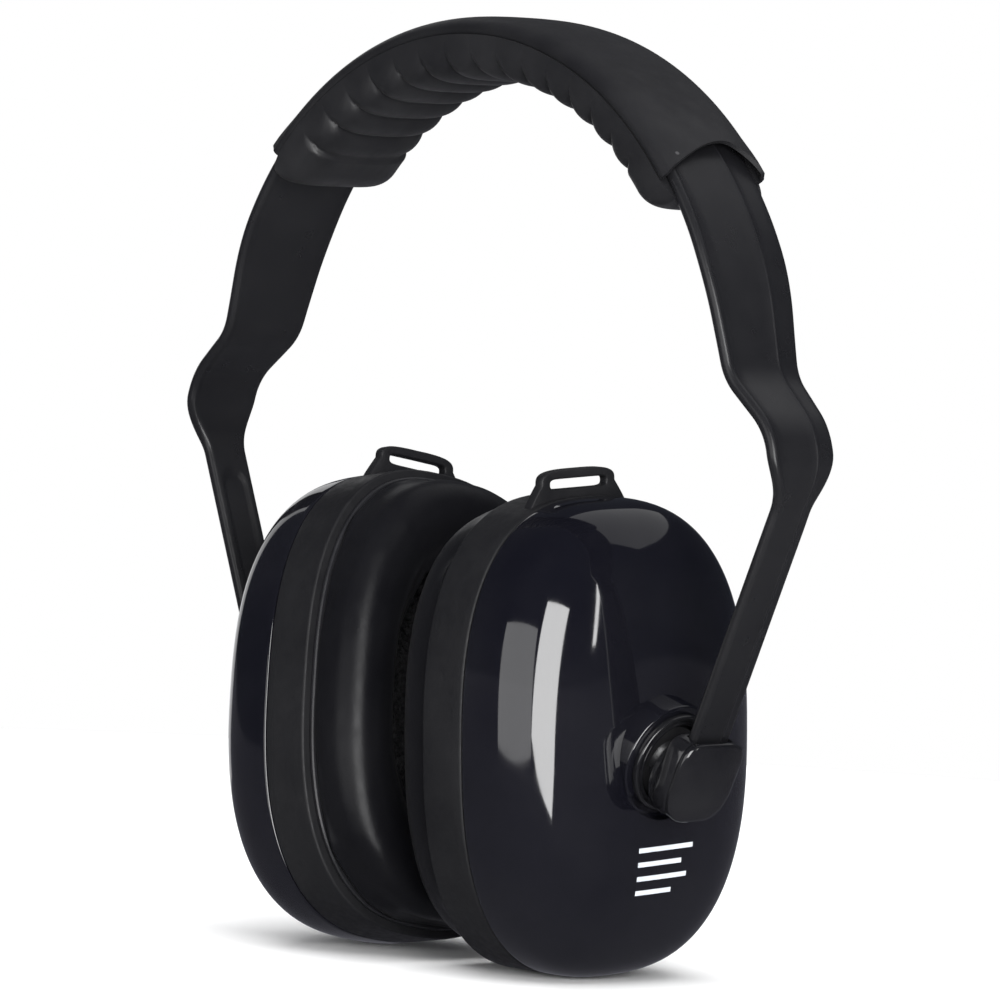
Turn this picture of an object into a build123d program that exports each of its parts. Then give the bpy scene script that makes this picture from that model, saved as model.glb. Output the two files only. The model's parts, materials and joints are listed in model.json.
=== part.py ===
from build123d import *
import math
import os

# Hearing protection earmuffs, standing on the round ends of their two cups.
# Millimetres. +X is the wearer's left, -Y is the front, +Z is up, and the floor is Z = 0.
# The origin is on the floor, midway between the arms of the headband.

# ---- headband: one moulded strip that follows a centre line from the crown to each arm's tip ----
CROWN_HEIGHT = 215.2       # centre line of the strip at the crown, above the floor
CROWN_RADIUS = 84.5
CROWN_ANGLE = 63.3         # half of the crown arc
SHOULDER_RADIUS = 80.0
SHOULDER_ANGLE = 11.3
SIDE_LENGTH = 10.2
KICK_RADIUS = 12.5         # the strip kicks outwards above the ears
KICK_ANGLE = 33.3
KICK_LENGTH = 7.5
BULGE_RADIUS = 16.2        # and turns back inwards round this bulge
BULGE_ANGLE = 71.2
ARM_LENGTH = 80.7
ARM_SLOPE = CROWN_ANGLE + SHOULDER_ANGLE - KICK_ANGLE + BULGE_ANGLE - 90.0   # inwards from vertical
STRIP_THICKNESS = 2.8
STRIP_WIDTH_CROWN = 27.0
STRIP_WIDTH_SIDE = 23.0
STRIP_WIDTH_BULGE = 20.4
ARM_WIDTH = 11.6
TIP_CORNER = 3.8            # rounding of the two corners at each arm's tip
NECK_DROP = 4.0             # the strip reaches its arm width this far below the bulge

# ---- head pad: a sleeve round the crown of the strip, and a ribbed cushion under it ----
PAD_ANGLE = 51.5           # half of the pad's arc along the crown
PAD_WIDTH = 32.0
COVER_WALL = 1.3
COVER_CREST = 0.4          # the sleeve stands this much further off the strip's outer face
COVER_ROUND = 1.6
STRIP_FIT = 0.1            # clearance between strip and sleeve
CUSHION_HEIGHT = 8.5
CUSHION_MARGIN = 1.5       # the cushion is narrower than the sleeve by this on each side
CUSHION_END = 1.0          # and shorter by this angle at each end
RIB_COUNT = 14
RIB_DEPTH = 2.4
RIB_END = 8.0              # angle left plain at each end
RIVET_RADIUS = 1.6
RIVET_HEIGHT = 0.7
RIVET_FROM_END = 3.5       # angle
RIVET_FORWARD = 11.0

# ---- cup: a rounded oblong, measured outwards from the seam between shell and ring ----
CUP_HEIGHT = 110.0
CUP_WIDTH = 77.5
CUP_SQUARENESS = 2.55      # exponent of the outline: 2 is an ellipse
SHELL_DEPTH = 26.0
DOME_POWER = 3.2
SHELL_WALL = 2.6
RING_DEPTH = 13.0
RING_WALL = 4.0
SEAM_GAP = 0.3
GROOVE = 1.2               # step between the ring and the ear cushion
CUSHION_DEPTH = 15.0
CUSHION_INSET = 2.0
SKIN = 1.1
RIM_ROUND = 7.5            # outer rounding of the ear cushion
EAR_ROUND = 5.0            # rounding where the cushion turns into the ear opening
EAR_WIDTH = 40.0
EAR_HEIGHT = 68.0
PLATE_THICKNESS = 2.0
PLATE_FIT = 0.1
EAR_POCKET = 4.0           # the foam's ear hollow ends this far outwards of the seam
FOAM_CLEARANCE = 0.5

# ---- strap lug on top of each ring ----
LUG_BASE = 34.0
LUG_TOP = 22.0
LUG_RISE = 6.4
LUG_THICKNESS = 3.6
LUG_FROM_SEAM = 1.6
LUG_CORNER = 2.5
LUG_BAR = 1.7              # bar of material above the slot
SLOT_LENGTH = 17.5
SLOT_WIDTH = 2.3

# ---- ball joint and slider, measured outwards from the ball's centre along the stud ----
BALL_IN_CUP = (24.4, 0.0, -2.0)
BOSS_DROOP = 18.0          # the boss on the shell faces this far below level
BALL_RADIUS = 6.0
SEAT_RADIUS = 9.0
RUNNING_GAP = 0.05
SEAT_HALF = 3.0
STUD_RADIUS = 3.0
STUD_HEAD_RADIUS = 4.6
STUD_SHOULDER_RADIUS = 5.0
STUD_SHOULDER_FROM = 6.2
BOSS_RADIUS = 13.5
BOSS_TOP = 4.0
BOSS_BOTTOM = -5.0
BOSS_CLEARANCE = 0.3       # ring of space round the boss where it lies below the dome
HOUSING_WALL = 2.0         # extra wall round the boss inside the shell
SOCKET_BOTTOM = -6.5
BORE_RADIUS = 11.0
PRESS_GAP = 0.05
MOUTH_IN = 6.0             # radius of the collar's flared mouth at the ball's centre
MOUTH_OUT = 9.6            # and at its outer face
RETAINER_BORE = 6.3
COLLAR_RADIUS = 11.7
COLLAR_TOP = 5.6
BASE_RADIUS = 10.3
BASE_FROM = 8.3
BLOCK_FROM = 9.5
ARM_FROM_BALL = 12.8
BLOCK_TO = 14.9
CAP_TO = 17.0
BLOCK_WIDTH = 19.0
BLOCK_LENGTH = 18.0
BLOCK_CORNER = 4.5
CAP_ROUND = 1.5
CHANNEL_GAP = 0.15         # clearance between the arm and the slider all round
SPRING_THICKNESS = 0.4
SPRING_WIDTH = 7.0
SPRING_LENGTH = 13.0
SPRING_NOSE = (0.5, 5.0, 2.0)
SPRING_ROOM = 0.3

# ---- how each side stands at rest: distance from the arm's tip to the slider's middle, and the
# cup's turn from square with the headband (top leaning outwards, top leaning back) ----
SIDES = {
    "left": {"mirror": False, "station": 8.8, "lean_out": 0.0, "lean_back": -4.0},
    "right": {"mirror": True, "station": 4.4, "lean_out": 10.0, "lean_back": 9.5},
}


# ---------------------------------------------------------------- shared shapes

def outline(width, height):
    """Rounded oblong of the cups: a superellipse, as a face in the YZ plane."""
    steps = 36
    points = []
    for i in range(steps):
        angle = 2 * math.pi * i / steps
        c = math.cos(angle)
        s = math.sin(angle)
        y = width / 2 * math.copysign(abs(c) ** (2 / CUP_SQUARENESS), c)
        z = height / 2 * math.copysign(abs(s) ** (2 / CUP_SQUARENESS), s)
        points.append((y, z))
    return Plane.YZ * make_face(Spline(*points, periodic=True))


def slab(width, height, start, end):
    """Straight-sided oblong body between two distances from the seam."""
    return extrude(Pos(start, 0, 0) * outline(width, height), end - start, dir=(1, 0, 0))


def dome(width, height, depth):
    """Closed dome that starts at the seam and rises outwards to a nearly flat crown."""
    sections = []
    for rise in (0.0, 0.3, 0.55, 0.74, 0.87, 0.95, 0.985):
        spread = (1 - rise ** DOME_POWER) ** (1 / DOME_POWER)
        sections.append(Pos(rise * depth, 0, 0) * outline(width * spread, height * spread))
    return loft(sections)


def disc(radius, start, end):
    """Cylinder along X between two distances."""
    return Pos(start, 0, 0) * (Rot(0, 90, 0) * Cylinder(
        radius, end - start, align=(Align.CENTER, Align.CENTER, Align.MIN)))


def rounded_block(length_x, width_y, length_z, corner):
    """Box along X from zero with its four X edges rounded."""
    box = Box(length_x, width_y, length_z, align=(Align.MIN, Align.CENTER, Align.CENTER))
    return fillet(box.edges().filter_by(Axis.X), corner)


# ---------------------------------------------------------------- headband

def half_line(offset):
    """Half of the strip's side line, from the crown to the arm's tip, moved outwards by offset."""
    crown = JernArc((0, CROWN_HEIGHT + offset), (1, 0), CROWN_RADIUS + offset, -CROWN_ANGLE)
    shoulder = JernArc(crown @ 1, crown % 1, SHOULDER_RADIUS + offset, -SHOULDER_ANGLE)
    side = PolarLine(shoulder @ 1, SIDE_LENGTH, direction=shoulder % 1)
    kick = JernArc(side @ 1, side % 1, KICK_RADIUS - offset, KICK_ANGLE)
    run = PolarLine(kick @ 1, KICK_LENGTH, direction=kick % 1)
    bulge = JernArc(run @ 1, run % 1, BULGE_RADIUS + offset, -BULGE_ANGLE)
    arm = PolarLine(bulge @ 1, ARM_LENGTH, direction=bulge % 1)
    return [crown, shoulder, side, kick, run, bulge, arm]


def arm_point(distance):
    """Point on the left arm's centre line, a distance up from its tip."""
    arm = half_line(0.0)[-1]
    tip = arm @ 1
    up = (arm @ 0 - arm @ 1).normalized()
    point = tip + up * distance
    return Vector(point.X, 0, point.Y)


def strip_front():
    """Front outline of the strip: wide at the crown, narrow along the arm."""
    crown, shoulder, side, kick, run, bulge, arm = half_line(0.0)
    shoulder_z = (shoulder @ 0.2).Y
    kick_z = (kick @ 0).Y
    neck_top = (bulge @ 0.55).Y
    neck_bottom = (arm @ 0).Y - NECK_DROP
    top = CROWN_HEIGHT + STRIP_THICKNESS
    foot = (arm @ 1).Y - STRIP_THICKNESS
    lead = Line((STRIP_WIDTH_CROWN / 2, top), (STRIP_WIDTH_CROWN / 2, shoulder_z))
    taper = Spline(
        lead @ 1,
        (STRIP_WIDTH_SIDE / 2, kick_z),
        (STRIP_WIDTH_BULGE / 2, neck_top),
        (ARM_WIDTH / 2, neck_bottom),
        tangents=[(0, -1), (0, -1)],
    )
    down = Line(taper @ 1, (ARM_WIDTH / 2, foot))
    close = Polyline(down @ 1, (0, foot), (0, top), lead @ 0)
    half = make_face([lead, taper, down, close])
    return Plane.YZ * (half + mirror(half, about=Plane.YZ))


def headband():
    """The whole sprung strip with both arms, the corners of the tips rounded."""
    outer = half_line(STRIP_THICKNESS / 2)
    inner = half_line(-STRIP_THICKNESS / 2)
    top = Line(inner[0] @ 0, outer[0] @ 0)
    tip = Line(outer[-1] @ 1, inner[-1] @ 1)
    side = Plane.XZ * make_face([top, *outer, tip, *inner])
    wide = extrude(side, STRIP_WIDTH_CROWN, both=True)
    front = extrude(strip_front(), 2 * CROWN_RADIUS, dir=(1, 0, 0))
    half = wide & front
    tip_face = half.faces().sort_by(Axis.Z)[0]
    corners = tip_face.edges().sort_by(SortBy.LENGTH)[:2]
    half = fillet(corners, TIP_CORNER)
    return half + mirror(half, about=Plane.YZ)


def crown_sector(inner, outer, width, angle):
    """Arc-shaped block centred on the crown arc, between two radii."""
    centre = CROWN_HEIGHT - CROWN_RADIUS
    ring = extrude(Plane.XZ * (Circle(outer) - Circle(inner)), width / 2, both=True)
    reach = 2 * outer
    wedge = make_face(Polyline(
        (0, 0),
        (reach * math.sin(math.radians(angle)), reach * math.cos(math.radians(angle))),
        (0, 2 * reach),
        (-reach * math.sin(math.radians(angle)), reach * math.cos(math.radians(angle))),
        (0, 0),
    ))
    return Pos(0, 0, centre) * (ring & extrude(Plane.XZ * wedge, width, both=True))


def strip_clearance():
    """Room for the strip inside the sleeve."""
    inner = CROWN_RADIUS - STRIP_THICKNESS / 2 - STRIP_FIT
    outer = CROWN_RADIUS + STRIP_THICKNESS / 2 + STRIP_FIT
    return crown_sector(inner, outer, STRIP_WIDTH_CROWN + 2 * STRIP_FIT, 2 * PAD_ANGLE)


def cover_outer_radius():
    """Radius of the sleeve's top surface."""
    return CROWN_RADIUS + STRIP_THICKNESS / 2 + COVER_WALL + COVER_CREST


def cover_inner_radius():
    """Radius of the sleeve's underside, where the cushion is bonded."""
    return CROWN_RADIUS - STRIP_THICKNESS / 2 - COVER_WALL


def head_pad_cover():
    """Sleeve over the crown: a wall above, beside and under the strip, open at its ends."""
    body = crown_sector(cover_inner_radius(), cover_outer_radius(), PAD_WIDTH, PAD_ANGLE)
    long_edges = body.edges().filter_by(GeomType.CIRCLE).filter_by(
        lambda e: abs(e.radius - cover_outer_radius()) < STRIP_FIT)
    return fillet(long_edges, COVER_ROUND) - strip_clearance()


def head_pad_cushion():
    """Soft pad under the sleeve, with cross ribs on the side that meets the head."""
    top = cover_inner_radius()
    bottom = top - CUSHION_HEIGHT
    body = crown_sector(bottom, top, PAD_WIDTH - 2 * CUSHION_MARGIN, PAD_ANGLE - CUSHION_END)
    ribbed = PAD_ANGLE - RIB_END
    groove = Cylinder(RIB_DEPTH / 2, 2 * PAD_WIDTH, rotation=(90, 0, 0))
    for i in range(RIB_COUNT + 1):
        angle = -ribbed + 2 * ribbed * i / RIB_COUNT
        body -= Pos(0, 0, CROWN_HEIGHT - CROWN_RADIUS) * Rot(0, angle, 0) * Pos(0, 0, bottom) * groove
    return body


def pad_rivets():
    """Two push rivets that pin the sleeve to the strip near the pad's ends."""
    rivets = []
    for side in (-1, 1):
        turn = Pos(0, 0, CROWN_HEIGHT - CROWN_RADIUS) * Rot(0, side * (PAD_ANGLE - RIVET_FROM_END), 0)
        head = Pos(0, -RIVET_FORWARD, cover_outer_radius()) * Cylinder(
            RIVET_RADIUS, RIVET_HEIGHT, align=(Align.CENTER, Align.CENTER, Align.MIN))
        rivets.append(turn * head)
    return Compound(rivets)


# ---------------------------------------------------------------- cup, in the cup's own frame:
# X outwards from the seam, Z up, origin at the middle of the seam

def boss_frame():
    """Frame of the boss on the shell: origin at the ball's centre, X out along the boss."""
    return Pos(*BALL_IN_CUP) * Rot(0, BOSS_DROOP, 0)


def cup_shell():
    """Domed outer shell with the round boss that houses the ball joint."""
    outside = dome(CUP_WIDTH, CUP_HEIGHT, SHELL_DEPTH)
    inside = dome(CUP_WIDTH - 2 * SHELL_WALL, CUP_HEIGHT - 2 * SHELL_WALL, SHELL_DEPTH - SHELL_WALL)
    boss = boss_frame() * disc(BOSS_RADIUS, BOSS_BOTTOM, BOSS_TOP)
    housing = (boss_frame() * disc(BOSS_RADIUS + HOUSING_WALL, SOCKET_BOTTOM, BOSS_TOP)) & outside
    recess = boss_frame() * disc(BOSS_RADIUS + BOSS_CLEARANCE, BOSS_TOP, BOSS_TOP + CUP_WIDTH)
    bore = boss_frame() * disc(BORE_RADIUS, -CUP_WIDTH, CUP_WIDTH)
    shell = (outside - inside) + boss + housing - recess - bore
    return shell - slab(2 * CUP_WIDTH, 2 * CUP_HEIGHT, -RING_DEPTH, SEAM_GAP / 2)


def strap_lug():
    """Trapezoid lug with a strap slot, standing on top of the ring."""
    base = CUP_HEIGHT / 2 - RING_WALL + 1.0
    top = CUP_HEIGHT / 2 + LUG_RISE
    face = make_face(Polyline(
        (-LUG_BASE / 2, base),
        (LUG_BASE / 2, base),
        (LUG_TOP / 2, top),
        (-LUG_TOP / 2, top),
        (-LUG_BASE / 2, base),
    ))
    plate = extrude(Plane.YZ * face, LUG_THICKNESS)
    plate = fillet(plate.edges().filter_by(Axis.X).group_by(Axis.Z)[-1], LUG_CORNER)
    slot = Pos(-LUG_THICKNESS, 0, top - LUG_BAR - SLOT_WIDTH / 2) * extrude(
        Plane.YZ * SlotOverall(SLOT_LENGTH, SLOT_WIDTH), 3 * LUG_THICKNESS)
    return Pos(-LUG_THICKNESS - LUG_FROM_SEAM, 0, 0) * (plate - slot)


def cup_ring():
    """Deep rim under the shell that carries the strap lug and the ear cushion."""
    body = slab(CUP_WIDTH, CUP_HEIGHT, -RING_DEPTH, -SEAM_GAP / 2)
    hollow = slab(CUP_WIDTH - 2 * RING_WALL, CUP_HEIGHT - 2 * RING_WALL, -2 * RING_DEPTH, RING_DEPTH)
    lug = strap_lug() - slab(CUP_WIDTH - RING_WALL, CUP_HEIGHT - RING_WALL, -2 * RING_DEPTH, RING_DEPTH)
    return body - hollow + lug


def cushion_plate():
    """Snap-in plate that closes the back of the ear cushion and holds it in the ring."""
    rim = slab(CUP_WIDTH - 2 * CUSHION_INSET, CUP_HEIGHT - 2 * CUSHION_INSET,
               -RING_DEPTH - GROOVE, -RING_DEPTH)
    inset = RING_WALL + PLATE_FIT
    spigot = slab(CUP_WIDTH - 2 * inset, CUP_HEIGHT - 2 * inset,
                  -RING_DEPTH, -RING_DEPTH + PLATE_THICKNESS)
    hole = slab(EAR_WIDTH + PLATE_THICKNESS, EAR_HEIGHT + PLATE_THICKNESS, -2 * RING_DEPTH, 0)
    return rim + spigot - hole


def cushion_body(shrink):
    """Rounded ring of the ear cushion, drawn in on every side by shrink."""
    back = -RING_DEPTH - GROOVE
    front = -RING_DEPTH - CUSHION_DEPTH + shrink
    inset = CUSHION_INSET + shrink
    body = slab(CUP_WIDTH - 2 * inset, CUP_HEIGHT - 2 * inset, front, back)
    body = fillet(body.faces().sort_by(Axis.X)[0].edges(), RIM_ROUND - shrink)
    hole = slab(EAR_WIDTH + 2 * shrink, EAR_HEIGHT + 2 * shrink, front - CUSHION_DEPTH, 0)
    ring = body - hole
    inner_edge = ring.faces().sort_by(Axis.X)[0].inner_wires()[0].edges()
    return fillet(inner_edge, EAR_ROUND - shrink)


def ear_cushion():
    """Soft cover of the ear cushion, open at the back where it is welded to its plate."""
    return cushion_body(0.0) - cushion_body(SKIN)


def cushion_foam():
    """Foam ring inside the cushion's cover."""
    return cushion_body(SKIN + PLATE_FIT)


def damping_foam():
    """Foam block that fills the cup, hollowed for the ear and cut away round the ball joint."""
    inset = SHELL_WALL + FOAM_CLEARANCE
    body = dome(CUP_WIDTH - 2 * inset, CUP_HEIGHT - 2 * inset, SHELL_DEPTH - inset)
    inset = RING_WALL + FOAM_CLEARANCE
    lower = slab(CUP_WIDTH - 2 * inset, CUP_HEIGHT - 2 * inset,
                 -RING_DEPTH + PLATE_THICKNESS + FOAM_CLEARANCE, SEAM_GAP)
    ear = slab(EAR_WIDTH + 2 * PLATE_THICKNESS, EAR_HEIGHT + 2 * PLATE_THICKNESS,
               -2 * RING_DEPTH, EAR_POCKET)
    joint = boss_frame() * disc(BOSS_RADIUS + HOUSING_WALL + FOAM_CLEARANCE,
                                SOCKET_BOTTOM - FOAM_CLEARANCE, CUP_WIDTH)
    return body + lower - ear - joint


def turned(profile):
    """Body of revolution about X from a profile drawn with x along and y outwards."""
    return revolve(profile, Axis.X)


def band_of(start, end, inner, outer):
    """Rectangle of a turned profile."""
    return Pos((start + end) / 2, (inner + outer) / 2) * Rectangle(end - start, outer - inner)


def pivot_collar():
    """Outer half of the ball socket: a stepped collar seated in the shell's boss."""
    flange = band_of(BOSS_TOP, COLLAR_TOP, 0, COLLAR_RADIUS)
    sleeve = band_of(PRESS_GAP, BOSS_TOP, 0, BORE_RADIUS - PRESS_GAP)
    seat = Circle(SEAT_RADIUS + RUNNING_GAP)
    mouth = make_face(Polyline(
        (0, 0), (0, MOUTH_IN), (COLLAR_TOP, MOUTH_OUT), (2 * COLLAR_TOP, MOUTH_OUT), (2 * COLLAR_TOP, 0), (0, 0)))
    return boss_frame() * turned(flange + sleeve - seat - mouth)


def socket_retainer():
    """Inner half of the ball socket: a ring pressed in behind the ball."""
    ring = band_of(SOCKET_BOTTOM, -PRESS_GAP, RETAINER_BORE, BORE_RADIUS - PRESS_GAP)
    return boss_frame() * turned(ring - Circle(SEAT_RADIUS + RUNNING_GAP))


# ---------------------------------------------------------------- slider, in the stud's frame:
# X outwards along the stud, Z up along the arm, origin at the ball's centre

def ball_seat():
    """Ring between ball and socket, round inside and out."""
    ring = Circle(SEAT_RADIUS) & band_of(-SEAT_HALF, SEAT_HALF, 0, SEAT_RADIUS)
    return turned(ring - Circle(BALL_RADIUS + RUNNING_GAP))


def pivot_stud():
    """Ball-ended stud that turns in the slider block."""
    head_from = BLOCK_FROM + 2 * PLATE_FIT
    head_to = ARM_FROM_BALL - STRIP_THICKNESS / 2 - 2 * CHANNEL_GAP
    shaft = disc(STUD_RADIUS, 0, head_from)
    shoulder = disc(STUD_SHOULDER_RADIUS, STUD_SHOULDER_FROM, BASE_FROM - PLATE_FIT)
    head = disc(STUD_HEAD_RADIUS, head_from, head_to)
    return Sphere(BALL_RADIUS) + shaft + shoulder + head


def slider_block():
    """Block that slides on the arm, with a round base and the bearing for the stud."""
    arm_low = ARM_FROM_BALL - STRIP_THICKNESS / 2 - CHANNEL_GAP
    body = Pos(BLOCK_FROM, 0, 0) * rounded_block(
        BLOCK_TO - BLOCK_FROM, BLOCK_WIDTH, BLOCK_LENGTH, BLOCK_CORNER)
    base = disc(BASE_RADIUS, BASE_FROM, BLOCK_FROM)
    channel = Pos(arm_low, 0, 0) * Box(
        BLOCK_TO, ARM_WIDTH + 2 * CHANNEL_GAP, 2 * BLOCK_LENGTH,
        align=(Align.MIN, Align.CENTER, Align.CENTER))
    bearing = disc(STUD_RADIUS + RUNNING_GAP, 0, BLOCK_TO)
    pocket = disc(STUD_HEAD_RADIUS + PLATE_FIT, BLOCK_FROM + PLATE_FIT, BLOCK_TO)
    return body + base - channel - bearing - pocket


def slider_cap():
    """Cover that closes the channel and makes room for the detent spring."""
    cap = Pos(BLOCK_TO, 0, 0) * rounded_block(
        CAP_TO - BLOCK_TO, BLOCK_WIDTH, BLOCK_LENGTH, BLOCK_CORNER)
    cap = fillet(cap.faces().sort_by(Axis.X)[-1].edges(), CAP_ROUND)
    spring_pocket = Pos(BLOCK_TO - SPRING_ROOM, 0, 0) * Box(
        SPRING_THICKNESS + 3 * SPRING_ROOM, SPRING_WIDTH + 2 * SPRING_ROOM, SPRING_LENGTH + 2 * SPRING_ROOM,
        align=(Align.MIN, Align.CENTER, Align.CENTER))
    return cap - spring_pocket


def detent_spring():
    """Leaf spring under the cap whose nose grips the arm and holds the slider where it is put."""
    face = BLOCK_TO + CHANNEL_GAP
    leaf = Pos(face, 0, 0) * Box(
        SPRING_THICKNESS, SPRING_WIDTH, SPRING_LENGTH, align=(Align.MIN, Align.CENTER, Align.CENTER))
    nose = Pos(face, 0, 0) * Box(*SPRING_NOSE, align=(Align.MAX, Align.CENTER, Align.CENTER))
    return leaf + nose


# ---------------------------------------------------------------- placing

def stud_place(side):
    """Where the stud's frame stands on the left arm for this side's slider station."""
    on_arm = arm_point(side["station"])
    return Pos(on_arm.X, 0, on_arm.Z) * Rot(0, ARM_SLOPE, 0) * Pos(-ARM_FROM_BALL, 0, 0)


def cup_place(side):
    """Where the cup's frame stands: turned about the ball, with the ball in its socket."""
    ball = stud_place(side).position
    turn = Rot(0, side["lean_out"], 0) * Rot(-side["lean_back"], 0, 0)
    to_ball = Pos(-BALL_IN_CUP[0], -BALL_IN_CUP[1], -BALL_IN_CUP[2])
    return Pos(ball.X, ball.Y, ball.Z) * turn * to_ball


def write(name, shape):
    export_step(shape, f"parts/{name}.step")


SLIDER_PIECES = {
    "slider_block": slider_block,
    "slider_cap": slider_cap,
    "detent_spring": detent_spring,
    "pivot_stud": pivot_stud,
    "ball_seat": ball_seat,
}
CUP_PIECES = {
    "pivot_collar": pivot_collar,
    "socket_retainer": socket_retainer,
    "cup_shell": cup_shell,
    "cup_ring": cup_ring,
    "cushion_plate": cushion_plate,
    "ear_cushion": ear_cushion,
    "cushion_foam": cushion_foam,
    "damping_foam": damping_foam,
}


def main():
    os.makedirs("parts", exist_ok=True)
    write("headband", headband())
    write("head_pad_cover", head_pad_cover())
    write("head_pad_cushion", head_pad_cushion())
    write("pad_rivets", pad_rivets())
    for side_name, side in SIDES.items():
        for pieces, place in ((SLIDER_PIECES, stud_place(side)), (CUP_PIECES, cup_place(side))):
            for piece_name, make in pieces.items():
                shape = place * make()
                if side["mirror"]:
                    shape = mirror(shape, about=Plane.YZ)
                write(f"{side_name}_{piece_name}", shape)


main()
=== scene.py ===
import json
import math

import bmesh
import bpy
from mathutils import Matrix, Vector, noise


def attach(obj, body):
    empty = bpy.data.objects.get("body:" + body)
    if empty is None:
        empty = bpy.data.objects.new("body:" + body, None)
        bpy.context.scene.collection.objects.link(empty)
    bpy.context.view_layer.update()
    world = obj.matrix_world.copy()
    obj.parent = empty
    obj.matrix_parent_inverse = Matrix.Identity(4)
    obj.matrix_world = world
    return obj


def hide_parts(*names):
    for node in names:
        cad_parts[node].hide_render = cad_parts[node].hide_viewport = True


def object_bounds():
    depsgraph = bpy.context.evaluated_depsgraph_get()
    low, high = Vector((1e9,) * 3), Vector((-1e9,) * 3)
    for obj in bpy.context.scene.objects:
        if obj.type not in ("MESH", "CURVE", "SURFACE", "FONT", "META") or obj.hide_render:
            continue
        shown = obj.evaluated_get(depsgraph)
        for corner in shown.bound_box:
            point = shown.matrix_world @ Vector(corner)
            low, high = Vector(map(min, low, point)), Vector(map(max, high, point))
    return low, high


# Hearing protection earmuffs: the looks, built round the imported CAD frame.
# Shapes are worked out in millimetres and written in metres, in the row frame.
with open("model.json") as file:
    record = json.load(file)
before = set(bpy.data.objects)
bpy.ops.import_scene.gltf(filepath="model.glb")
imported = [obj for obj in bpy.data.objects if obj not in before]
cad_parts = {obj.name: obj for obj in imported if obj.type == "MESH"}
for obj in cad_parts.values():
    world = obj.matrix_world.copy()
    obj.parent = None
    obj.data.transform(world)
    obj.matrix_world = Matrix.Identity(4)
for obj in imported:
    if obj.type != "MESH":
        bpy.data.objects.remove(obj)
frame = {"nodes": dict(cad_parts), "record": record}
record = frame["record"]
cad_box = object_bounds()

MM = 0.001
SIDES = ("left", "right")
TURNED_POINTS = 96  # points round a turned piece

# ---- headband, as in the CAD: crown, shoulder, side, kick, run, bulge, arm ----
CROWN_HEIGHT = 215.2
CROWN_RADIUS = 84.5
CROWN_ANGLE = 63.3
SHOULDER_RADIUS = 80.0
SHOULDER_ANGLE = 11.3
SIDE_LENGTH = 10.2
KICK_RADIUS = 12.5
KICK_ANGLE = 33.3
KICK_LENGTH = 7.5
BULGE_RADIUS = 16.2
BULGE_ANGLE = 71.2
ARM_LENGTH = 80.7
STRIP_THICKNESS = 2.8
WIDTH_CROWN = 27.0
WIDTH_SIDE = 23.0
WIDTH_BULGE = 20.4
WIDTH_ARM = 11.6
TIP_CORNER = 3.8
NECK_DROP = 4.0
STATION_STEP = 1.0  # spacing of the sections along the strip
EDGE_ROUND = 0.9
EDGE_FLAT = 0.3
WIDTH_FADE = 8.0  # the first taper runs on this far below the side's end
LIP_WIDTH = 1.5  # raised lip along the front edge of the outer face
LIP_HEIGHT = 0.3
LIP_SLOPE = 0.6
LIP_FADE_LEAD = 6.0  # the lip fades out round the end of the bulge
LIP_FADE = 14.0
CREASE_AT = 0.42  # fine ridge towards the rear edge, as a share of the half width
CREASE_HEIGHT = 0.16
CREASE_HALF = 0.5
CREASE_SPREAD = 0.3
FLANK_DROP = 0.55  # the flank behind the ridge falls this far
CHANNEL_SHARE = 0.6  # recess down the inner face of each arm
CHANNEL_DEPTH = 0.6
CHANNEL_FROM_BULGE = 9.0
CHANNEL_SLOPE = 0.7
CHANNEL_FROM_TIP = 2.0
CHANNEL_END_SLOPE = 1.5

# ---- head pad ----
PAD_ANGLE = 51.5
PAD_WIDTH = 32.0
COVER_WALL = 1.3
COVER_CREST = 0.4
COVER_THICKNESS = 0.9
COVER_POINTS = 80
COVER_STEPS = 60
COVER_SIDE_POWER = 5  # squareness of the sleeve's section across and in height
COVER_RISE_POWER = 0.45
COVER_CROWN = 0.5  # extra rise of the sleeve's upper face along its middle
COVER_OUTSIDE = CROWN_RADIUS + STRIP_THICKNESS / 2 + COVER_WALL + COVER_CREST
COVER_INSIDE = CROWN_RADIUS - STRIP_THICKNESS / 2 - COVER_WALL
COVER_FLARE = 0.7  # the upper face lifts off the strip towards the sleeve's ends
FLARE_FROM = 0.85
COVER_END = 50.8  # angle of the sleeve's corners
COVER_ARCH = 5.4  # degrees by which the opening over the strip arches back
ARCH_CENTRE = 5.5  # the arch's top lies this far towards the rear
ARCH_ROUND = 0.45
UPPER_FROM = 0.15  # points that face up by this much belong to the sleeve's upper face
COVER_TONGUE = 2.2  # degrees by which the underside runs on
PAD_END = 54.2
PAD_DEPTH = 8.5
PAD_LAP = 1.8  # the pad's sides lap this far up over the sleeve
PAD_HALF_WIDTH = 16.05
PAD_STEPS = 440
PAD_POINTS = 44
RIB_COUNT = 14
RIB_DEPTH = 2.6
RIB_SIDE = 1.5  # depth of the grooves in the pad's sides
RIB_END = 8.0
RIB_FADE = 2.0  # degrees over which the ribs die out
RIB_OVERRUN = 1.5
RIB_POWER = 0.45  # the lower, the sharper the grooves between the pillows
PAD_SIDE_POWER = 0.5  # squareness of the pad's section across and in height
PAD_RISE_POWER = 0.45
LOBE_SPAN = 6.0  # degrees of the pad's round nose
NOSE_TAPER = 0.2
RIB_BOW = 1.3  # the ribs' middles hang lower than their ends by this much
RIVET_RADIUS = 1.6
RIVET_HEIGHT = 0.7
RIVET_SINK = 1.5  # depth of the dome's centre below the sleeve
RIVET_FROM_END = 3.5
RIVET_FORWARD = 11.0

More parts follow.
